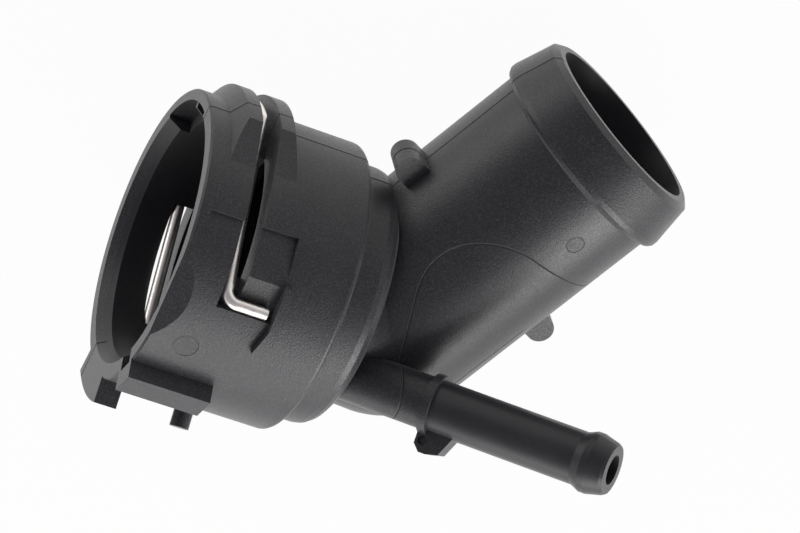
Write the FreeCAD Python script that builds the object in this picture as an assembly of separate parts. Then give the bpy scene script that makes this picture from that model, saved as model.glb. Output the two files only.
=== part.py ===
# Coolant stub pipe: a moulded connector with a snap-in socket, a hose stub and a small hose nipple
import FreeCAD
import Part
from FreeCAD import Vector, Rotation, Placement
from math import acos, atan2, cos, degrees, radians, sin, sqrt
import os

os.makedirs("parts", exist_ok=True)

# Drawing axes: X runs along the socket from its mouth at X = 0, Z is square to the parting plane
AXIS_X = Vector(1, 0, 0)
CENTRE = Vector(0, 0, 0)

# Overlap that a cut or a rooted piece runs past the face it crosses
PAST = 1.0

# Socket barrel
BARREL_R = 23.0
BARREL_END_X = 26.4
BARREL_EDGE_R = 0.8
BARREL_WALL = 3.8
RIM_EDGE = 0.3
EDGE_STEPS = 4

# Socket bore and its mouth
BORE_R = BARREL_R - BARREL_WALL
BORE_END_X = 21.0
SHOULDER_L = 1.0
MOUTH_R = BORE_R + 1.4
MOUTH_CHAMFER_L = 2.1

# Seal groove in the bore
SEAL_GROOVE_R = BORE_R + 1.9
SEAL_GROOVE_X = 14.0
SEAL_GROOVE_L = 4.2

# Neck behind the barrel
NECK_R = BARREL_R - 2.5
NECK_END_X = 33.0
NECK_EDGE_R = 2.6
NECK_WALL = 3.4
NECK_BORE_R = NECK_R - NECK_WALL
NECK_BORE_END_X = 29.8

# Hose stub and its bead
STUB_ANGLE = 64.2
STUB_CROSS_X = 39.3
STUB_R = 16.0
STUB_WALL = 2.3
LEG_R = STUB_R - 0.6
STUB_BORE_R = STUB_R - STUB_WALL
STUB_END = 47.2
BEAD_R = STUB_R + 1.25
BEAD_BACK = 38.4
BEAD_STEP_L = 0.5
BEAD_STEP_FALL = 0.3
BEAD_CREST = BEAD_BACK + 1.0
BEAD_PEAK = 40.2
BEAD_LAND_END = 46.4
RIM_FACE_R = STUB_R - 1.1

# Hose nipple, slanted out of the neck's back face towards the near side, and its bead
NIPPLE_SWING = 38.7
NIPPLE_ROLL = 66.3
NIPPLE_ROOT_R = NECK_R - 6.2
NIPPLE_ROOT_ANGLE = 112.5
NIPPLE_BACK = 4.0
NIPPLE_R = 4.1
NIPPLE_WALL = 1.8
NIPPLE_BORE_R = NIPPLE_R - NIPPLE_WALL
NIPPLE_FEED_R = NIPPLE_BORE_R + 0.5
NIPPLE_STEP = 17.0
NIPPLE_L = 45.0
NIPPLE_BEAD_R = NIPPLE_R + 0.6
NIPPLE_BEAD = 39.8
NIPPLE_BEAD_RISE_L = 1.4
NIPPLE_BEAD_L = 1.0
NIPPLE_NOSE_R = NIPPLE_R - 0.3
NIPPLE_NOSE_EDGE = 0.5
NIPPLE_NOSE_RISE = 0.3

# Retaining clip wire and the slot that it lies in
WIRE_R = 0.9
WIRE_GAP = 0.35
CLIP_X = 8.3
SLOT_X = 7.3
SLOT_W = 3.0
SLOT_DEPTH = 2.6
SLOT_FLOOR_R = BARREL_R - SLOT_DEPTH
SLOT_END_ANGLE = -167.0
CLIP_R = BARREL_R + 0.6
CHORD_R = BORE_R - 1.45
LOWER_CHORD_ANGLE = -129.0
CLIP_END_L = 12.0
EAR_Y = 4.2
EAR_Z = BARREL_R - 0.4
EAR_TIP_X = 14.9
EAR_BEND_R = 1.9

# Hoods in front of and behind the slot: angles of their top edges and feet round the socket
HOOD_R = BARREL_R + 2.45
HOOD_NEAR_EDGE = 9.5
HOOD_NEAR_FOOT = 27.4
HOOD_FAR_EDGE = -40.0
HOOD_FAR_FOOT = -55.0
HOOD_FRONT_X = 3.3
HOOD_SLOPE_L = 1.8
HOOD_BACK_X = 12.6
HOOD_BACK_L = 1.4

# Flat pads beside the slot: each is a step deep at its top edge and runs out lower down
PAD_DEPTH = 0.8
PAD_ANGLE = 49.0
PAD_L = 8.0
FRONT_PAD_X = 2.0
REAR_PAD_X = 16.0

# Bed of the clip's turned-out end
BED_L = 11.1

# Stop rib beyond the tip of the clip: a thin post with a sloped foot
RIB_W = 1.2
RIB_TOP_Y = 9.0
RIB_KNEE_Y = 2.0
RIB_FOOT_Y = -3.2
RIB_SPREAD = 1.0
RIB_OUT = 1.1

# Key rail with its groove, stop fin and peg at the mouth
RAIL_ANGLE = 125.0
RAIL_W = 5.2
RAIL_R = BARREL_R + 2.7
RAIL_END_X = 13.2
KEY_W = 3.4
KEY_ROOF = 2.8
KEY_R = RAIL_R - KEY_ROOF
KEY_END_X = 6.9
FIN_R = BARREL_R + 3.8
FIN_FROM = 153.0
FIN_TO = 184.0
FIN_T = 3.6
PEG_ANGLE = 148.0
PEG_X = 13.2
PEG_R = 1.5
PEG_TOP_R = BARREL_R + 3.6

# Slanted flat on the rim's near side
FLAT_ANGLE = 84.0
FLAT_DEPTH = 1.25
FLAT_L = 3.3
FLAT_HALF_W = 9.0

# Wide key recess in the mouth, with a thin rib across it
RECESS_R = MOUTH_R + 0.6
RECESS_FROM = -56.0
RECESS_TO = -3.0
RECESS_END_X = 3.6
RECESS_RIB_ANGLE = -24.0
RECESS_RIB_W = 0.9
RECESS_RIB_X = 0.6

# Turn-stop lugs on the stub, the collar on the nipple and the ear below it
LUG_TOP_T = 19.2
LUG_LOW_T = 16.4
LUG_L = 4.4
LUG_OUT = 3.9
LUG_HALF_W = 3.0
COLLAR = 14.9
COLLAR_T = 1.4
COLLAR_R = NIPPLE_R + 0.7
EAR_L = 4.2
EAR_DROP = NIPPLE_R + 3.2
EAR_FOOT = NIPPLE_R + 2.7
EAR_CORNER = 1.1
EAR_WEB_L = 1.7
EAR_HALF_W = 1.6
DIMPLE_R = 0.75
DIMPLE_DEPTH = 0.6
DIMPLE_INSET = 1.1
DIMPLE_DROP = NIPPLE_R + 1.4

# Sealing ring: flat on its seat, crowned towards the bore
SEAL_W = 3.4
SEAL_IN_R = NECK_BORE_R + 0.1
SEAL_SEAT_GAP = 0.02
SEAL_CROWN = 1.0

# Passes used to find the plane that the part lies on
SETTLE_STEPS = 30


def around(angle, radius, x=0.0):
    """Point at a radius from the socket axis, its angle counted from +Y towards +Z."""
    return Vector(x, radius * cos(radians(angle)), radius * sin(radians(angle)))


def outward(angle):
    """Unit direction away from the socket axis."""
    return around(angle, 1.0)


def rod(radius, start, direction, length):
    """Solid cylinder from a start point."""
    return Part.makeCylinder(radius, length, start, direction)


def turned(points, start, axis):
    """Solid of revolution from (distance along the axis, radius) pairs."""
    closed = [(points[0][0], 0)] + points + [(points[-1][0], 0)]
    wire = Part.makePolygon([Vector(a, r, 0) for a, r in closed + closed[:1]])
    solid = Part.Face(wire).revolve(CENTRE, AXIS_X, 360)
    solid.Placement = Placement(start, Rotation(AXIS_X, axis))
    return solid


def rounded(end, radius, edge):
    """Outline points that round off the end of a turned body."""
    turns = [radians(90 * step / EDGE_STEPS) for step in range(EDGE_STEPS + 1)]
    return [(end - edge + edge * sin(turn), radius - edge + edge * cos(turn)) for turn in turns]


def radial_block(angle, width, r_in, r_out, x0, x1):
    """Block that stands along one radius of the socket."""
    block = Part.makeBox(x1 - x0, r_out - r_in, width, Vector(x0, r_in, -width / 2))
    block.rotate(CENTRE, AXIS_X, angle)
    return block


def sector(r_in, r_out, start, end, x0, x1):
    """Part of a ring round the socket axis between two angles."""
    face = Part.Face(Part.makePolygon([
        Vector(x0, r_in, 0),
        Vector(x1, r_in, 0),
        Vector(x1, r_out, 0),
        Vector(x0, r_out, 0),
        Vector(x0, r_in, 0),
    ]))
    face.rotate(CENTRE, AXIS_X, start)
    return face.revolve(CENTRE, AXIS_X, end - start)


def lowest_on_rim(centre, axis, radius, down):
    """Point of a round rim that lies furthest in the down direction."""
    side = down - axis * down.dot(axis)
    return centre + side.normalize() * radius


def prism(points, x0, x1):
    """Prism along the socket axis from (Y, Z) corners."""
    loop = [Vector(x0, y, z) for y, z in points + points[:1]]
    return Part.Face(Part.makePolygon(loop)).extrude(Vector(x1 - x0, 0, 0))


# Directions and crossing point of the stub
stub_axis = Vector(cos(radians(STUB_ANGLE)), sin(radians(STUB_ANGLE)), 0)
stub_side = Vector(-stub_axis.y, stub_axis.x, 0)
crossing = Vector(STUB_CROSS_X, 0, 0)

# Outside of the socket, turned in one go: rim, barrel and neck
socket = turned([
    (0.0, BARREL_R - RIM_EDGE),
    (RIM_EDGE, BARREL_R),
] + rounded(BARREL_END_X, BARREL_R, BARREL_EDGE_R) + [
    (BARREL_END_X, NECK_R),
] + rounded(NECK_END_X, NECK_R, NECK_EDGE_R), CENTRE, AXIS_X)

# Hoods: one round-topped block with sloped flanks, bevelled at both ends, cut later by the slot
hood_middle = (HOOD_NEAR_EDGE + HOOD_FAR_EDGE) / 2
hood_reach = HOOD_R / cos(radians(HOOD_NEAR_EDGE - hood_middle))
hood_corners = [
    CENTRE,
    around(HOOD_FAR_FOOT, BARREL_R),
    around(HOOD_FAR_EDGE, HOOD_R),
    around(hood_middle, hood_reach),
    around(HOOD_NEAR_EDGE, HOOD_R),
    around(HOOD_NEAR_FOOT, BARREL_R),
]
hood = prism([(corner.y, corner.z) for corner in hood_corners], HOOD_FRONT_X, HOOD_BACK_X + HOOD_BACK_L)
hood = hood.common(turned([
    (HOOD_FRONT_X, BARREL_R),
    (HOOD_FRONT_X + HOOD_SLOPE_L, HOOD_R),
    (HOOD_BACK_X, HOOD_R),
    (HOOD_BACK_X + HOOD_BACK_L, BARREL_R),
], CENTRE, AXIS_X))

# Stub with its bead, and the ball that closes the elbow
elbow_leg = Part.makeCone(LEG_R, STUB_R, STUB_CROSS_X - BARREL_END_X, Vector(BARREL_END_X, 0, 0), AXIS_X)
elbow_ball = Part.makeSphere(STUB_R, crossing)
stub = turned([
    (0.0, STUB_R),
    (BEAD_BACK, STUB_R),
    (BEAD_BACK + BEAD_STEP_L, BEAD_R - BEAD_STEP_FALL),
    (BEAD_CREST, BEAD_R),
    (BEAD_PEAK, BEAD_R),
    (BEAD_LAND_END, STUB_R),
    (STUB_END, RIM_FACE_R),
], crossing, stub_axis)

# Nipple with its collar and bead, run back into the neck
swing, roll = radians(NIPPLE_SWING), radians(NIPPLE_ROLL)
nipple_axis = Vector(cos(swing), sin(swing) * cos(roll), sin(swing) * sin(roll))
nipple_drop = AXIS_X.cross(nipple_axis).normalize()
nipple_near = nipple_axis.cross(nipple_drop) * -1
nipple_root = around(NIPPLE_ROOT_ANGLE, NIPPLE_ROOT_R, NECK_END_X)
bead_crest = NIPPLE_BEAD + NIPPLE_BEAD_RISE_L
nipple = turned([
    (-NIPPLE_BACK, NIPPLE_R),
    (COLLAR, NIPPLE_R),
    (COLLAR, COLLAR_R),
    (COLLAR + COLLAR_T, COLLAR_R),
    (COLLAR + COLLAR_T, NIPPLE_R),
    (NIPPLE_BEAD, NIPPLE_R),
    (bead_crest, NIPPLE_BEAD_R),
    (bead_crest + NIPPLE_BEAD_L, NIPPLE_BEAD_R),
    (NIPPLE_L - NIPPLE_NOSE_EDGE, NIPPLE_NOSE_R + NIPPLE_NOSE_RISE),
    (NIPPLE_L, NIPPLE_NOSE_R),
], nipple_root, nipple_axis)

# Key rail, fin and peg on the outside of the mouth, rooted inside the wall
root_r = BORE_R + BARREL_WALL / 2
rail = radial_block(RAIL_ANGLE, RAIL_W, root_r, RAIL_R, 0.0, RAIL_END_X)
fin = sector(root_r, FIN_R, FIN_FROM, FIN_TO, 0.0, FIN_T)
peg = rod(PEG_R, around(PEG_ANGLE, root_r, PEG_X), outward(PEG_ANGLE), PEG_TOP_R - root_r)

# Stop rib on the near side of the barrel
rib_outline = [
    (REAR_PAD_X, RIB_TOP_Y),
    (REAR_PAD_X + RIB_W, RIB_TOP_Y),
    (REAR_PAD_X + RIB_W + RIB_SPREAD, RIB_KNEE_Y),
    (REAR_PAD_X + RIB_W - RIB_SPREAD, RIB_FOOT_Y),
    (REAR_PAD_X - RIB_SPREAD, RIB_FOOT_Y + RIB_W),
    (REAR_PAD_X, RIB_KNEE_Y),
]
rib_loop = [Vector(x, y, root_r) for x, y in rib_outline + rib_outline[:1]]
rib = Part.Face(Part.makePolygon(rib_loop)).extrude(Vector(0, 0, BARREL_R))
rib = rib.common(rod(BARREL_R + RIB_OUT, CENTRE, AXIS_X, BARREL_END_X))

# Turn-stop lugs on the parting plane of the stub
def lug(side, middle):
    """Rounded tab that stands on one side of the stub."""
    out = stub_side * side
    length = STUB_R + LUG_OUT - LUG_L / 2
    root = crossing + stub_axis * middle - Vector(0, 0, LUG_HALF_W)
    tip = rod(LUG_L / 2, root + out * length, Vector(0, 0, 1), 2 * LUG_HALF_W)
    inner = STUB_BORE_R + STUB_WALL / 2
    corner = root + out * inner - stub_axis * LUG_L / 2
    loop = [
        corner,
        corner + stub_axis * LUG_L,
        corner + stub_axis * LUG_L + out * (length - inner),
        corner + out * (length - inner),
        corner,
    ]
    web = Part.Face(Part.makePolygon(loop)).extrude(Vector(0, 0, 2 * LUG_HALF_W))
    return tip.fuse(web)


lugs = [lug(1, LUG_TOP_T), lug(-1, LUG_LOW_T)]

# Ear below the collar: a flat tab with a cut corner, a sloped web and a dimple in its near face
def on_ear(along, drop, near=0.0):
    """Place given along the nipple, below its axis and towards its near side."""
    return nipple_root + nipple_axis * along + nipple_drop * drop + nipple_near * near


ear_root = NIPPLE_R - NIPPLE_WALL / 2
ear_outline = [
    (COLLAR, ear_root),
    (COLLAR, EAR_DROP - EAR_CORNER),
    (COLLAR + EAR_CORNER, EAR_DROP),
    (COLLAR + 2 * EAR_CORNER, EAR_DROP),
    (COLLAR + EAR_L, EAR_FOOT),
    (COLLAR + EAR_L + EAR_WEB_L, ear_root),
]
ear_loop = [on_ear(along, drop, -EAR_HALF_W) for along, drop in ear_outline + ear_outline[:1]]
clamp_ear = Part.Face(Part.makePolygon(ear_loop)).extrude(nipple_near * 2 * EAR_HALF_W)
dimple_place = on_ear(COLLAR + DIMPLE_INSET, DIMPLE_DROP, EAR_HALF_W - DIMPLE_DEPTH)
clamp_ear = clamp_ear.cut(rod(DIMPLE_R, dimple_place, nipple_near, PAST + DIMPLE_DEPTH))

outside = socket.fuse([hood, rail, fin, peg, rib, elbow_leg, elbow_ball, stub, nipple, clamp_ear] + lugs)

# Socket bore, turned in one go: mouth chamfer, bore, seal groove, neck bore
socket_bore = turned([
    (-PAST, MOUTH_R),
    (0.0, MOUTH_R),
    (MOUTH_CHAMFER_L, BORE_R),
    (SEAL_GROOVE_X, BORE_R),
    (SEAL_GROOVE_X, SEAL_GROOVE_R),
    (SEAL_GROOVE_X + SEAL_GROOVE_L, SEAL_GROOVE_R),
    (SEAL_GROOVE_X + SEAL_GROOVE_L, BORE_R),
    (BORE_END_X, BORE_R),
    (BORE_END_X + SHOULDER_L, NECK_BORE_R),
    (NECK_BORE_END_X, NECK_BORE_R),
], CENTRE, AXIS_X)

# Water way round the elbow, and the nipple's bore with its wider feed
elbow_bore = rod(STUB_BORE_R, Vector(BORE_END_X, 0, 0), AXIS_X, STUB_CROSS_X - BORE_END_X)
ball_bore = Part.makeSphere(STUB_BORE_R, crossing)
stub_bore = rod(STUB_BORE_R, crossing, stub_axis, STUB_END + PAST)
feed_start = nipple_root - nipple_axis * (NIPPLE_BACK + PAST)
nipple_feed = rod(NIPPLE_FEED_R, feed_start, nipple_axis, NIPPLE_BACK + PAST + NIPPLE_STEP)
nipple_bore = rod(NIPPLE_BORE_R, feed_start, nipple_axis, NIPPLE_BACK + NIPPLE_L + 2 * PAST)

# Slot for the clip, with a window into the bore behind each straight run of the wire
slot_end_x = SLOT_X + SLOT_W
ear_angle = 90.0 - degrees(atan2(EAR_Y - WIRE_R - WIRE_GAP, EAR_Z))
slot = sector(SLOT_FLOOR_R, hood_reach + PAST, SLOT_END_ANGLE, ear_angle, SLOT_X, slot_end_x)
ear_reach = sqrt(EAR_Y ** 2 + EAR_Z ** 2)
upper_chord_angle = degrees(atan2(EAR_Z, EAR_Y) - acos(CHORD_R / ear_reach))
window_half = sqrt(CLIP_R ** 2 - CHORD_R ** 2) + WIRE_R + WIRE_GAP
near_window_half = sqrt(ear_reach ** 2 - CHORD_R ** 2)
window_floor = CHORD_R - WIRE_R - WIRE_GAP
windows = [
    radial_block(upper_chord_angle, 2 * near_window_half, window_floor, BARREL_R, SLOT_X, slot_end_x),
    radial_block(LOWER_CHORD_ANGLE, 2 * window_half, window_floor, BARREL_R, SLOT_X, slot_end_x),
]

# Bed of the clip's turned-out end, and the flat pads beside the slot
wire_room = WIRE_R + WIRE_GAP
bed = Part.makeBox(REAR_PAD_X - SLOT_X, BED_L, BARREL_R, Vector(SLOT_X, EAR_Y - wire_room, EAR_Z - wire_room))
pads = Part.makeBox(REAR_PAD_X - FRONT_PAD_X, PAD_DEPTH + PAST, PAD_L, Vector(FRONT_PAD_X, BARREL_R - PAD_DEPTH, 0))
pads.rotate(CENTRE, AXIS_X, PAD_ANGLE)

# Slanted flat that thins the rim towards the mouth
flat_fall = FLAT_DEPTH / FLAT_L * PAST
rim_flat = prism([
    (BARREL_R - FLAT_DEPTH - flat_fall, -PAST),
    (BARREL_R, FLAT_L),
    (BARREL_R + PAST, FLAT_L),
    (BARREL_R + PAST, -PAST),
], -FLAT_HALF_W, FLAT_HALF_W)
rim_flat.rotate(CENTRE, Vector(0, 1, 0), 90)
rim_flat.rotate(CENTRE, AXIS_X, FLAT_ANGLE)

# Key groove under the rail, and the wide recess in the mouth with its rib
key_groove = radial_block(RAIL_ANGLE, KEY_W, BORE_R / 2, KEY_R, -PAST, KEY_END_X)
recess = sector(BORE_R / 2, RECESS_R, RECESS_FROM, RECESS_TO, -PAST, RECESS_END_X)
recess_rib = radial_block(RECESS_RIB_ANGLE, RECESS_RIB_W, BORE_R, BARREL_R, RECESS_RIB_X, RECESS_END_X + PAST)
recess = recess.cut(recess_rib)

hollows = [socket_bore, elbow_bore, ball_bore, stub_bore, nipple_feed, nipple_bore]
body = outside
for tool in hollows + [slot] + windows + [bed, pads, rim_flat, key_groove, recess]:
    body = body.cut(tool)
body = body.removeSplitter()

# Clip: two straight runs joined by a round one, with one end turned out along the socket
def on_clip(angle):
    """Point of the wire's centre line on its round run."""
    return around(angle, CLIP_R, CLIP_X)


def clip_arc(start, end):
    """Round run of the wire between two angles."""
    face = Part.Face(Part.Wire(Part.makeCircle(WIRE_R, Vector(CLIP_X, CLIP_R, 0), Vector(0, 0, 1))))
    face.rotate(CENTRE, AXIS_X, start)
    return face.revolve(CENTRE, AXIS_X, end - start)


def run(start, end):
    """Straight run of the wire between two places."""
    return rod(WIRE_R, start, end - start, (end - start).Length)


chord_half_angle = degrees(acos(CHORD_R / CLIP_R))
upper_far = on_clip(upper_chord_angle - chord_half_angle)
lower_far = on_clip(LOWER_CHORD_ANGLE + chord_half_angle)
lower_along = outward(LOWER_CHORD_ANGLE - 90)
lower_end = around(LOWER_CHORD_ANGLE, CHORD_R, CLIP_X) + lower_along * CLIP_END_L
ear_corner = Vector(CLIP_X, EAR_Y, EAR_Z)
drop = (ear_corner - upper_far).normalize()
bend_start = ear_corner - drop * EAR_BEND_R
bend_centre = bend_start + AXIS_X * EAR_BEND_R
bend_face = Part.Face(Part.Wire(Part.makeCircle(WIRE_R, bend_start, drop)))
ear_bend = bend_face.revolve(bend_centre, drop.cross(AXIS_X) * -1, -90)
ear_run = run(bend_centre + drop * EAR_BEND_R, Vector(EAR_TIP_X, EAR_Y, EAR_Z))
clip = run(upper_far, bend_start).fuse([
    ear_bend,
    ear_run,
    clip_arc(LOWER_CHORD_ANGLE + chord_half_angle, upper_chord_angle - chord_half_angle),
    run(lower_far, lower_end),
    Part.makeSphere(WIRE_R, upper_far),
    Part.makeSphere(WIRE_R, lower_far),
])
clip = clip.removeSplitter()

# Sealing ring in its groove
seal_x0 = SEAL_GROOVE_X + (SEAL_GROOVE_L - SEAL_W) / 2
seal_out_r = SEAL_GROOVE_R - SEAL_SEAT_GAP
seal_profile = [
    (seal_x0, seal_out_r),
    (seal_x0, SEAL_IN_R + SEAL_CROWN),
    (seal_x0 + SEAL_CROWN, SEAL_IN_R),
    (seal_x0 + SEAL_W - SEAL_CROWN, SEAL_IN_R),
    (seal_x0 + SEAL_W, SEAL_IN_R + SEAL_CROWN),
    (seal_x0 + SEAL_W, seal_out_r),
]
seal_face = Part.Face(Part.makePolygon([Vector(x, r, 0) for x, r in seal_profile + seal_profile[:1]]))
seal = seal_face.revolve(CENTRE, AXIS_X, 360)

# The part lies on three places: the back edge of the barrel, the crest of the stub's bead and the elbow's ball
down = Vector(0, 0, -1)
for _ in range(SETTLE_STEPS):
    rims = [
        (Vector(BARREL_END_X - BARREL_EDGE_R, 0, 0) + down * BARREL_EDGE_R, AXIS_X, BARREL_R - BARREL_EDGE_R),
        (crossing + stub_axis * BEAD_CREST, stub_axis, BEAD_R),
        (crossing + down * STUB_R, AXIS_X, 0.0),
    ]
    touch = [lowest_on_rim(centre, axis, radius, down) for centre, axis, radius in rims]
    down = (touch[2] - touch[0]).cross(touch[1] - touch[0]).normalize()
    down = down if down.z < 0 else -down
heading = (AXIS_X - down * AXIS_X.dot(down)).normalize()
lay_down = Rotation(heading, down.cross(heading) * -1, -down, "ZXY").inverted()
nodes = {"connector_body": body, "retaining_clip": clip, "sealing_ring": seal}
for shape in nodes.values():
    shape.Placement = Placement(CENTRE, lay_down)

# The origin is on the floor, below the middle of the moulding
box = body.optimalBoundingBox(False, False)
to_origin = Vector(-box.Center.x, -box.Center.y, -box.ZMin)
for name, shape in nodes.items():
    shape.translate(to_origin)
    shape.exportStep("parts/" + name + ".step")
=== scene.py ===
# %% [markdown]
# # Coolant stub pipe
# The object is a black moulded connector for a car's cooling water. It has a wide socket with a wire clip,
# a hose stub with a bead, and a small hose nipple. The shapes come from the CAD model, so this script
# dresses them: it gives each piece a finish built from nodes, lays a floor, sets soft lights and places the
# camera.

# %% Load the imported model
import bpy
from functools import reduce
from math import cos, radians, sin
from mathutils import Matrix, Vector

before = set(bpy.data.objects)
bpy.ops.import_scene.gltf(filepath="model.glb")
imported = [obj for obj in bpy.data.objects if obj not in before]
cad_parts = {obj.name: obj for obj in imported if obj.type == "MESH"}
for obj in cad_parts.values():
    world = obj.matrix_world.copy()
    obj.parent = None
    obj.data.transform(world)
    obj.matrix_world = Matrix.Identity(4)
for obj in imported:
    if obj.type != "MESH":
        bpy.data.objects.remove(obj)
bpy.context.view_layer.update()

# %% [markdown]
# ## Drawing axes
# The part lies tilted on the floor, but its moulding marks follow the way it was drawn: the socket runs
# along X from its mouth, and the mould parts at Z = 0. Marks could be placed in the tilted frame, but their
# numbers would be hard to read. Here one matrix turns the lying part back to its drawing, and each mark is
# given in drawing millimetres. The directions below are those that the part takes when it is laid down.

# %% Turn the lying part back to its drawing
MM = 0.001
PER_M = 1000.0
SOCKET_DIR = Vector((0.922658, 0.0, -0.38562))
UP_DIR = Vector((0.374352, -0.239973, 0.895697))
SIDE_DIR = UP_DIR.cross(SOCKET_DIR)
MOUTH_AT = Vector((-35.1609, -10.8467, 31.1549)) * MM
to_part = Matrix((SOCKET_DIR, SIDE_DIR, UP_DIR)).transposed().to_4x4()
to_part.translation = MOUTH_AT
to_drawing = to_part.inverted()
print("mouth centre", [round(v, 4) for v in MOUTH_AT])

# %% [markdown]
# ## Writing shader maths
# A material that places marks by distance needs many small sums. Each could be laid out by hand in the node
# editor. Here a thin wrapper round a socket lets the sums be written as plain expressions, and each
# operator adds its Math node. Colours and vectors go through their own nodes, because a Math node would
# turn them grey.

# %% A small class for shader sums
class Value:
    """A socket in a node tree, with the usual operators. Without a socket it only adds nodes."""

    def __init__(self, tree, socket=None):
        self.tree = tree
        self.socket = socket

    def node(self, kind, settings=None, inputs=None, out=0):
        """Add a node, set it up, feed its sockets and return one of its outputs."""
        made = self.tree.nodes.new(kind)
        for name, setting in (settings or {}).items():
            setattr(made, name, setting)
        for name, given in (inputs or {}).items():
            if isinstance(given, Value):
                self.tree.links.new(given.socket, made.inputs[name])
            else:
                made.inputs[name].default_value = given
        return Value(self.tree, made.outputs[out])

    def output(self, name):
        """Another output of the node that this value comes from."""
        return Value(self.tree, self.socket.node.outputs[name])

    def math(self, operation, *given):
        """Add a Math node."""
        return self.node("ShaderNodeMath", {"operation": operation}, dict(enumerate(given)))

    def __add__(self, other):
        return self.math("ADD", self, other)

    def __radd__(self, other):
        return self.math("ADD", other, self)

    def __sub__(self, other):
        return self.math("SUBTRACT", self, other)

    def __rsub__(self, other):
        return self.math("SUBTRACT", other, self)

    def __mul__(self, other):
        return self.math("MULTIPLY", self, other)

    def __rmul__(self, other):
        return self.math("MULTIPLY", other, self)

    def __abs__(self):
        return self.math("ABSOLUTE", self)

    def max(self, other):
        return self.math("MAXIMUM", self, other)

    def min(self, other):
        return self.math("MINIMUM", self, other)

    def root(self):
        return self.math("SQRT", self)

    def ramp(self, low, high, start=0.0, end=1.0):
        """Map low..high smoothly to start..end."""
        given = {"Value": self, "From Min": low, "From Max": high, "To Min": start, "To Max": end}
        return self.node("ShaderNodeMapRange", {"interpolation_type": "SMOOTHSTEP"}, given)


print("sums can now use + - * and abs, and max, min, root and ramp")

# %% [markdown]
# ## Starting a finish
# Each finish starts from a Principled shader and reads Object coordinates, so that its pattern stays on the
# piece when the piece moves. A UV map would need unwrapping, and a CAD mesh of loose triangles unwraps
# badly. A Mapping node turns the coordinates back to the drawing.

# %% Start a material and link its shader
MIX_COLOR_FIRST = 6
MIX_COLOR_SECOND = 7
MIX_COLOR_RESULT = 2


def start_material(name):
    """A fresh material with its Principled shader and the Object coordinates."""
    material = bpy.data.materials.new(name)
    material.use_nodes = True
    tree = material.node_tree
    place = Value(tree).node("ShaderNodeTexCoord", out="Object")
    return material, tree.nodes["Principled BSDF"], place


def link_shader(shader, name, value):
    """Link a value to one of the shader's inputs."""
    value.tree.links.new(value.socket, shader.inputs[name])


def mix_color(share, first, second):
    """Blend two colours by a share from 0 to 1."""
    given = {"Factor": share, MIX_COLOR_FIRST: first, MIX_COLOR_SECOND: second}
    return share.node("ShaderNodeMix", {"data_type": "RGBA"}, given, out=MIX_COLOR_RESULT)


def to_drawing_mm(place):
    """Object coordinates turned back to the drawing, in millimetres."""
    move = to_drawing.translation * PER_M
    turn = to_drawing.to_euler()
    given = {"Vector": place, "Location": move, "Rotation": turn, "Scale": (PER_M, PER_M, PER_M)}
    return place.node("ShaderNodeMapping", {"vector_type": "POINT"}, given)


print("turn to the drawing", [round(angle, 3) for angle in to_drawing.to_euler()], "radians")


# %% Vectors, noise and bump
NOISE_SPREAD = (0.3, 0.7)


def split(vector):
    """The three parts of a vector."""
    x = vector.node("ShaderNodeSeparateXYZ", None, {"Vector": vector})
    return x, x.output("Y"), x.output("Z")


def shift(vector, origin):
    """A vector measured from another origin."""
    return vector.node("ShaderNodeVectorMath", {"operation": "SUBTRACT"}, {0: vector, 1: origin})


def dot(vector, direction):
    """Length of a vector along a direction."""
    given = {0: vector, 1: direction}
    return vector.node("ShaderNodeVectorMath", {"operation": "DOT_PRODUCT"}, given, "Value")


def noise(place, scale, detail=2.0, roughness=0.5):
    """Soft random pattern, scale in cells per unit of place."""
    given = {"Vector": place, "Scale": scale, "Detail": detail, "Roughness": roughness}
    return place.node("ShaderNodeTexNoise", None, given)


def bump(height, strength, depth):
    """Normals bent by a height, whose value of 1 stands for a depth in metres."""
    given = {"Height": height, "Strength": strength, "Distance": depth}
    return height.node("ShaderNodeBump", None, given)


print("most of a noise lies between", NOISE_SPREAD[0], "and", NOISE_SPREAD[1])

# %% [markdown]
# ## Where the body is smooth
# Round steel cores form the bores of the socket and the stub, and leave them smooth and without a seam. The
# nipple is smoother beyond its collar, where a hose seals. The faces could be picked by hand and given a
# second material. Here each region is a distance from an axis of the drawing, so its edge can be soft.

# %% Masks for the bores and the nipple
SOCKET_BORE_R = 19.5
STUB_BORE_R = 14.2
BORE_SOFT = 0.4
NECK_END_X = 33.0
NECK_SOFT = 0.3
CROSS_X = 39.3
STUB_TURN = radians(64.2)
NIPPLE_FROM = Vector((33.0, -5.472, 13.212))
NIPPLE_DIR = Vector((0.78043, 0.25131, 0.57251))
HOSE_END = (16.0, 16.6)
HOSE_END_R = (5.0, 6.0)


def outer_skin(x, y, z):
    """1 on the outside, 0 in the bores."""
    off_socket = (y * y + z * z).root().ramp(SOCKET_BORE_R, SOCKET_BORE_R + BORE_SOFT)
    from_cross = x - CROSS_X
    onward = from_cross * cos(STUB_TURN) + y * sin(STUB_TURN)
    beside = from_cross * sin(STUB_TURN) - y * cos(STUB_TURN)
    behind = onward.min(0.0)
    from_stub = (beside * beside + behind * behind + z * z).root()
    off_stub = from_stub.ramp(STUB_BORE_R, STUB_BORE_R + BORE_SOFT)
    past_socket = x.ramp(NECK_END_X - NECK_SOFT, NECK_END_X + NECK_SOFT)
    return off_socket * (1.0 - past_socket) + off_stub * past_socket


def polished_hose_end(mm):
    """1 on the nipple beyond its collar."""
    offset = shift(mm, NIPPLE_FROM)
    onward = dot(offset, NIPPLE_DIR)
    outward = (dot(offset, offset) - onward * onward).max(0.0).root()
    return onward.ramp(*HOSE_END) * outward.ramp(*HOSE_END_R, 1.0, 0.0)


print("smooth: bores of radius", SOCKET_BORE_R, "and", STUB_BORE_R, "mm, nipple from", HOSE_END[0], "mm on")

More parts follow.
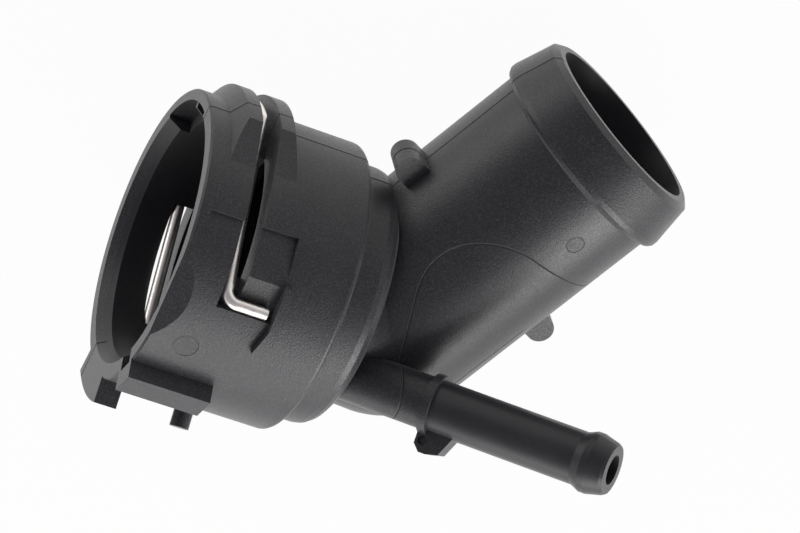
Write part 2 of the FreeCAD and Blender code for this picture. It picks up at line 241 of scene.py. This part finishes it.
# %% [markdown]
# ## Seam and ejector pins
# A dark line stays where the two halves of the mould met, and each pin that pushed the part out has left a
# disc with a fine ring round it. They could be cut into the mesh, but they are too shallow to change the
# outline. Here a distance becomes a thin band, which stays sharp however near the camera comes.

# %% Bands for the seam and the pins
SEAM_HALF_W = 0.14
SEAM_SOFT = 0.1
SOCKET_PIN = (5.9, -4.9, 1.9)
STUB_PIN = (55.75, 27.9, 1.4)
RING_HALF_W = 0.05
RING_SOFT = 0.1
UPPER_SIDE_Z = (0.0, 0.5)


def band(distance, half_width, soft):
    """1 inside a line, 0 outside it, with a soft edge."""
    return distance.ramp(half_width, half_width + soft, 1.0, 0.0)


def ejector_marks(x, y, z):
    """Discs left by the pins on the side that faces up, and the rings round them."""
    discs = []
    rings = []
    for centre_x, centre_y, radius in (SOCKET_PIN, STUB_PIN):
        dx = x - centre_x
        dy = y - centre_y
        away = (dx * dx + dy * dy).root()
        discs.append(away.ramp(radius - RING_SOFT, radius + RING_HALF_W, 1.0, 0.0))
        rings.append(band(abs(away - radius), RING_HALF_W, RING_SOFT))
    near = z.ramp(*UPPER_SIDE_Z)
    return reduce(Value.max, discs) * near, reduce(Value.max, rings) * near


print("seam", 2 * SEAM_HALF_W, "mm wide, pins of radius", SOCKET_PIN[2], "and", STUB_PIN[2], "mm")

# %% [markdown]
# ## The side slide
# A slide that draws out sideways forms the nipple, and its outline shows on the elbow as a thin dark line
# with a small lip beside it; the lip is raised by the bump, and its pale tone is a painted highlight. The
# line has two straight runs joined by an arc. It could be a curve laid on the surface, but that would be a
# piece the real part lacks. All its points lie equally far from the nearer of two half planes, so the
# distance from them gives the line in a few sums.

# %% Bands for the slide
SLIDE_CENTRE = Vector((48.0, 13.0, 0.0))
SLIDE_R = 10.8
SLIDE_HALF_W = 0.07
SLIDE_SOFT = 0.06
SLIDE_LIP = 0.16
SLIDE_LEFT = Vector((-0.985, -0.172, 0.0))
SLIDE_TOP = Vector((0.302, 0.953, 0.0))
SLIDE_FROM_Z = (7.0, 8.0)
SLIDE_FROM_Y = (-9.0, -5.0)
FOOT_DIR = Vector((0.62524, -0.31369, -0.71461))
FOOT_AT = 24.2
FOOT_HALF_W = 0.18
FOOT_SOFT = 0.15
FOOT_FROM_Z = (6.0, 8.0)
FOOT_BELOW_Y = (9.0, 11.0)


def slide_outline(mm):
    """Distance from the slide's outline, negative inside it."""
    offset = shift(mm, SLIDE_CENTRE)
    left_end = Vector((SLIDE_LEFT.y, -SLIDE_LEFT.x, 0.0))
    top_end = Vector((-SLIDE_TOP.y, SLIDE_TOP.x, 0.0))
    distances = []
    for side, end in ((SLIDE_LEFT, left_end), (SLIDE_TOP, top_end)):
        outward = dot(offset, side)
        past_end = dot(offset, end).max(0.0)
        distances.append((outward * outward + past_end * past_end).root())
    return reduce(Value.min, distances) - SLIDE_R


def slide_marks(mm, y, z):
    """The slide's dark line, with its foot on the stub's low side, and the lip beside it, which carries a
    painted highlight.
    """
    away = slide_outline(mm)
    seen = z.ramp(*SLIDE_FROM_Z) * y.ramp(*SLIDE_FROM_Y)
    line = band(abs(away), SLIDE_HALF_W, SLIDE_SOFT) * seen
    # The lip's band is painted pale as a highlight and raised a little by the bump.
    lip_and_highlight = band(abs(away - SLIDE_LIP), SLIDE_HALF_W, SLIDE_SOFT) * seen
    foot = band(abs(dot(mm, FOOT_DIR) - FOOT_AT), FOOT_HALF_W, FOOT_SOFT)
    foot_seen = z.ramp(*FOOT_FROM_Z) * y.ramp(*FOOT_BELOW_Y, 1.0, 0.0)
    return line.max(foot * foot_seen), lip_and_highlight


print("slide outline: an arc of radius", SLIDE_R, "mm round", list(SLIDE_CENTRE))

# %% [markdown]
# ## Grain of the nylon
# The body is black nylon filled with glass fibre. A spark-eroded mould gives it a fine matt grain, and
# fibre near the surface shows as a pale mottle with a few specks. A photograph of such a surface could be
# laid on, but it would show seams and stretch round the bends. Noises in space run through every form
# evenly.

# %% Patterns in the nylon
GRAIN_PER_MM = 4.2
MOTTLE_PER_MM = 3.4
MOTTLE_SPREAD = (0.4, 0.72)
CLOUD_PER_MM = 0.16
SPECKS_PER_MM = 2.0
SPECK_R = (0.08, 0.22)
SPECK_FIELDS_PER_MM = 0.5
SPECK_FIELDS = (0.46, 0.62)


def speck_pattern(mm):
    """1 in small round spots that gather in loose fields."""
    given = {"Vector": mm, "Scale": SPECKS_PER_MM, "Randomness": 1.0}
    to_middle = mm.node("ShaderNodeTexVoronoi", {"feature": "F1"}, given)
    fields = noise(mm, SPECK_FIELDS_PER_MM).ramp(*SPECK_FIELDS)
    return to_middle.ramp(*SPECK_R, 1.0, 0.0) * fields


def nylon_patterns(mm, rough_skin):
    """Fine grain, pale mottle, wide cloud and specks."""
    grain = noise(mm, GRAIN_PER_MM)
    mottle = noise(mm, MOTTLE_PER_MM, 1.0).ramp(*MOTTLE_SPREAD) * rough_skin
    cloud = noise(mm, CLOUD_PER_MM, 3.0, 0.55).ramp(*NOISE_SPREAD)
    return grain, mottle, cloud, speck_pattern(mm) * rough_skin


print("grain of about", round(1 / GRAIN_PER_MM, 2), "mm, specks about", 1 / SPECKS_PER_MM, "mm apart")

# %% [markdown]
# ## Colour and relief of the body
# A plain black would look like wet paint. The patterns and marks are mixed over it one by one, each with
# its own share, and the same masks vary the roughness and feed the bump, so that colour and relief agree. A
# little sheen stands in for the light that the grain scatters at the edges.

# %% Colours and heights of the body
NYLON_DARK = (0.0125, 0.0118, 0.0145, 1.0)
NYLON_WORN = (0.0175, 0.0168, 0.0195, 1.0)
FIBRE_GREY = (0.075, 0.074, 0.078, 1.0)
SPECK_GREY = (0.12, 0.12, 0.125, 1.0)
# Painted highlight: the pale tone of the slide's lip.
LIP_HIGHLIGHT_GREY = (0.09, 0.09, 0.095, 1.0)
SLIDE_BLACK = (0.004, 0.004, 0.004, 1.0)
SEAM_BLACK = (0.003, 0.003, 0.003, 1.0)
RING_BLACK = (0.008, 0.008, 0.008, 1.0)
NYLON_ROUGHNESS = (0.34, 0.46)
SPECK_SHINE = 0.08
LINE_DULL = 0.4
DISC_DULL = 0.06
NYLON_BUMP = 0.7
NYLON_DEPTH = 0.00006
GRAIN_HEIGHT = 0.9
SPECK_HEIGHT = 0.5
LINE_HEIGHT = -2.0
LIP_HEIGHT = 0.8
DISC_HEIGHT = -2.0
HOSE_END_POLISH = 0.8
BORE_GRAIN = 0.2

print("grain", round(GRAIN_HEIGHT * NYLON_DEPTH / MM, 3), "mm high")


# %% Paint the body
def paint_body():
    """Black nylon with its grain, specks and moulding marks, and a painted highlight on the slide's lip."""
    finish, shader, place = start_material("moulded_nylon")
    mm = to_drawing_mm(place)
    x, y, z = split(mm)
    skin = outer_skin(x, y, z)
    off_hose_end = 1.0 - polished_hose_end(mm) * HOSE_END_POLISH
    rough_skin = off_hose_end * (skin * (1.0 - BORE_GRAIN) + BORE_GRAIN)
    grain, mottle, cloud, specks = nylon_patterns(mm, rough_skin)
    seam = band(abs(z), SEAM_HALF_W, SEAM_SOFT) * skin
    discs, rings = ejector_marks(x, y, z)
    slide, lip_and_highlight = slide_marks(mm, y, z)
    lines = seam.max(slide)

    layers = (
        (mottle, 0.33, FIBRE_GREY),
        (specks, 0.4, SPECK_GREY),
        # painted highlight on the slide's lip
        (lip_and_highlight, 0.35, LIP_HIGHLIGHT_GREY),
        (slide, 0.75, SLIDE_BLACK),
        (seam, 0.9, SEAM_BLACK),
        (rings, 0.8, RING_BLACK),
    )
    tone = mix_color(cloud, NYLON_DARK, NYLON_WORN)
    for mask, share, color in layers:
        tone = mix_color(mask * share, tone, color)
    roughness = grain.ramp(*NOISE_SPREAD, *NYLON_ROUGHNESS)
    roughness = roughness - specks * SPECK_SHINE + lines * LINE_DULL + discs * DISC_DULL
    height = grain * rough_skin * GRAIN_HEIGHT + specks * SPECK_HEIGHT
    height = height + lines * LINE_HEIGHT + lip_and_highlight * LIP_HEIGHT + discs * DISC_HEIGHT

    link_shader(shader, "Base Color", tone)
    link_shader(shader, "Roughness", roughness)
    link_shader(shader, "Normal", bump(height, NYLON_BUMP, NYLON_DEPTH))
    shader.inputs["IOR"].default_value = 1.52
    shader.inputs["Sheen Weight"].default_value = 0.2
    shader.inputs["Sheen Roughness"].default_value = 0.4
    return finish


body_finish = paint_body()
print(body_finish.name, "has", len(body_finish.node_tree.nodes), "nodes")

# %% [markdown]
# ## Spring wire
# The clip is bright drawn steel wire. Drawing leaves it smooth but not quite even, so its roughness varies
# in soft patches, and its colour is a warm grey. A perfect mirror would be simpler, but it would show the
# dark body and the white floor as hard stripes.

# %% Paint the wire
WIRE_BRIGHT = (0.97, 0.93, 0.89, 1.0)
WIRE_DULL = (0.90, 0.85, 0.80, 1.0)
WIRE_ROUGHNESS = (0.30, 0.40)
PATCHES_PER_MM = 1.6
DULL_PER_MM = 0.4
DULL_SPREAD = (0.35, 0.65)
WIRE_BUMP = 0.12
WIRE_DEPTH = 0.00002


def paint_wire():
    """Drawn steel with faint uneven patches."""
    finish, shader, place = start_material("drawn_wire")
    mm = to_drawing_mm(place)
    patches = noise(mm, PATCHES_PER_MM, 3.0)
    dull = noise(mm, DULL_PER_MM).ramp(*DULL_SPREAD)
    link_shader(shader, "Base Color", mix_color(dull, WIRE_BRIGHT, WIRE_DULL))
    link_shader(shader, "Roughness", patches.ramp(*NOISE_SPREAD, *WIRE_ROUGHNESS))
    link_shader(shader, "Normal", bump(patches, WIRE_BUMP, WIRE_DEPTH))
    shader.inputs["Metallic"].default_value = 1.0
    return finish


wire_finish = paint_wire()
print(wire_finish.name, "has", len(wire_finish.node_tree.nodes), "nodes")

# %% [markdown]
# ## Rubber
# The sealing ring in the bore is smooth black rubber. It is nearly hidden, so a dark colour with a little
# dust in a fine noise is enough to tell it from the nylon round it.

# %% Paint the sealing ring
RUBBER_BLACK = (0.011, 0.011, 0.012, 1.0)
RUBBER_DUST = (0.024, 0.023, 0.022, 1.0)
RUBBER_ROUGHNESS = (0.42, 0.58)
DUST_PER_MM = 4.0
DUST_SPREAD = (0.45, 0.75)
RUBBER_BUMP = 0.3
RUBBER_DEPTH = 0.00005


def paint_rubber():
    """Black rubber with a trace of dust."""
    finish, shader, place = start_material("seal_rubber")
    dust = noise(to_drawing_mm(place), DUST_PER_MM, 3.0)
    tone = mix_color(dust.ramp(*DUST_SPREAD), RUBBER_BLACK, RUBBER_DUST)
    link_shader(shader, "Base Color", tone)
    link_shader(shader, "Roughness", dust.ramp(*NOISE_SPREAD, *RUBBER_ROUGHNESS))
    link_shader(shader, "Normal", bump(dust, RUBBER_BUMP, RUBBER_DEPTH))
    return finish


rubber_finish = paint_rubber()
print(rubber_finish.name, "has", len(rubber_finish.node_tree.nodes), "nodes")

# %% [markdown]
# ## Dressing the pieces
# All three pieces have their right shapes in the CAD model, so none is modelled again here. Each piece
# already has a material slot, and the finish goes into it. The names are those of the CAD model's nodes.

# %% Give each piece its finish
finishes = {"connector_body": body_finish, "retaining_clip": wire_finish, "sealing_ring": rubber_finish}
for name, finish in finishes.items():
    piece = bpy.data.objects[name]
    for material_slot in piece.material_slots:
        material_slot.material = finish
    print(name, "has", len(piece.data.polygons), "faces and", len(piece.material_slots), "slot")

# %% [markdown]
# ## Floor
# The part lies on white paper, which sends light up to its lower sides. More lamps would whiten the paper,
# but they would bleach the part as well. Instead a Light Path node lets the camera and mirror-like surfaces
# see the floor as plain white, and a small share of paper is kept, so that it still takes a faint shadow.

# %% Lay the floor
FLOOR_W = 6.0
GLOW_SHARE = 0.96
PAPER = (0.9, 0.9, 0.9, 1.0)
WHITE = (1.0, 1.0, 1.0, 1.0)


def paint_paper():
    """White paper that the camera sees as almost plain white."""
    finish, unused_shader, place = start_material("white_paper")
    tree = finish.node_tree
    tree.nodes.remove(unused_shader)
    rays = place.node("ShaderNodeLightPath", out="Is Camera Ray")
    seen = rays.max(rays.output("Is Glossy Ray")).max(rays.output("Is Transmission Ray"))
    paper = place.node("ShaderNodeBsdfDiffuse", None, {"Color": PAPER})
    glow = place.node("ShaderNodeEmission", None, {"Color": WHITE, "Strength": 1.0})
    blend = place.node("ShaderNodeMixShader", None, {0: seen * GLOW_SHARE, 1: paper, 2: glow})
    tree.links.new(blend.socket, tree.nodes["Material Output"].inputs["Surface"])
    return finish


bpy.ops.object.select_all(action="DESELECT")
bpy.ops.mesh.primitive_plane_add(size=FLOOR_W, location=(0, 0, 0))
floor = bpy.context.object
floor.name = "floor"
floor.data.materials.append(paint_paper())
print("floor is", FLOOR_W, "m wide")

# %% [markdown]
# ## Light all round
# The photograph has the even light of a white tent. Its sides are bright, and it is dim overhead, where the
# camera looks in. Black plastic shows mostly what it mirrors, so faces turned to the camera stay dark and
# the sides turn pale. One image of a studio could give this too, but a ramp on the height is enough.

# %% Put up the tent
TENT_TOP = (0.315, 0.30, 0.328, 1.0)
TENT_RISE = (0.15, 0.8)
TENT_STRENGTH = 0.8

world = bpy.data.worlds.new("tent")
bpy.context.scene.world = world
world.use_nodes = True
direction = Value(world.node_tree).node("ShaderNodeTexCoord", out="Generated")
height_up = split(direction)[2]
background = world.node_tree.nodes["Background"]
link_shader(background, "Color", mix_color(height_up.ramp(*TENT_RISE), WHITE, TENT_TOP))
background.inputs["Strength"].default_value = TENT_STRENGTH
print("tent of strength", TENT_STRENGTH)

# %% [markdown]
# ## Panels
# Three soft panels lift what the tent leaves too dark: two for the sides that face the bottom of the
# picture, and a weak one on the left. Area lamps are used because a small lamp would draw hard spots on the
# plastic.

# %% Hang the panels
PART_AT = Vector((0.0, 0.0, 0.02))
PANELS = {
    "panel_left": ((-0.6, 0.3, 0.2), 0.4, 0.8),
    "panel_low": ((0.54, -0.42, 0.23), 0.45, 4.0),
    "panel_corner": ((0.06, -0.66, 0.23), 0.45, 1.8),
}

for name, (lamp_at, lamp_w, watts) in PANELS.items():
    bpy.ops.object.light_add(type="AREA", location=lamp_at)
    lamp = bpy.context.object
    lamp.name = name
    lamp.data.size = lamp_w
    lamp.data.energy = watts
    lamp.rotation_euler = (PART_AT - Vector(lamp_at)).to_track_quat("-Z", "Y").to_euler()
    print(name, "gives", watts, "W")

# %% [markdown]
# ## Camera
# The camera looks down on the lying part at the photograph's angle to it. It could be set by eye. Instead
# its place, turn and lens were found by matching edges of the model to edges in the photograph, and the
# long lens gives the photograph's weak perspective.

# %% Place the camera
CAMERA_AT = (0.041427, 0.101219, 0.599619)
CAMERA_TURN = (-7.9014, 7.5088, 22.032)
LENS = 174.19
SENSOR_W = 36.0

bpy.ops.object.camera_add(location=CAMERA_AT, rotation=[radians(a) for a in CAMERA_TURN])
camera = bpy.context.object
camera.data.lens = LENS
camera.data.sensor_width = SENSOR_W
bpy.context.scene.camera = camera
bpy.context.scene.view_settings.view_transform = "Standard"
print("camera at", CAMERA_AT, "with a lens of", LENS, "mm")

# %% [markdown]
# ## Finishing
# Nothing here scales the pieces, so the dressed part keeps the size of its CAD model, and the last step
# brings the scene up to date.

# %% Bring the scene up to date
bpy.context.view_layer.update()
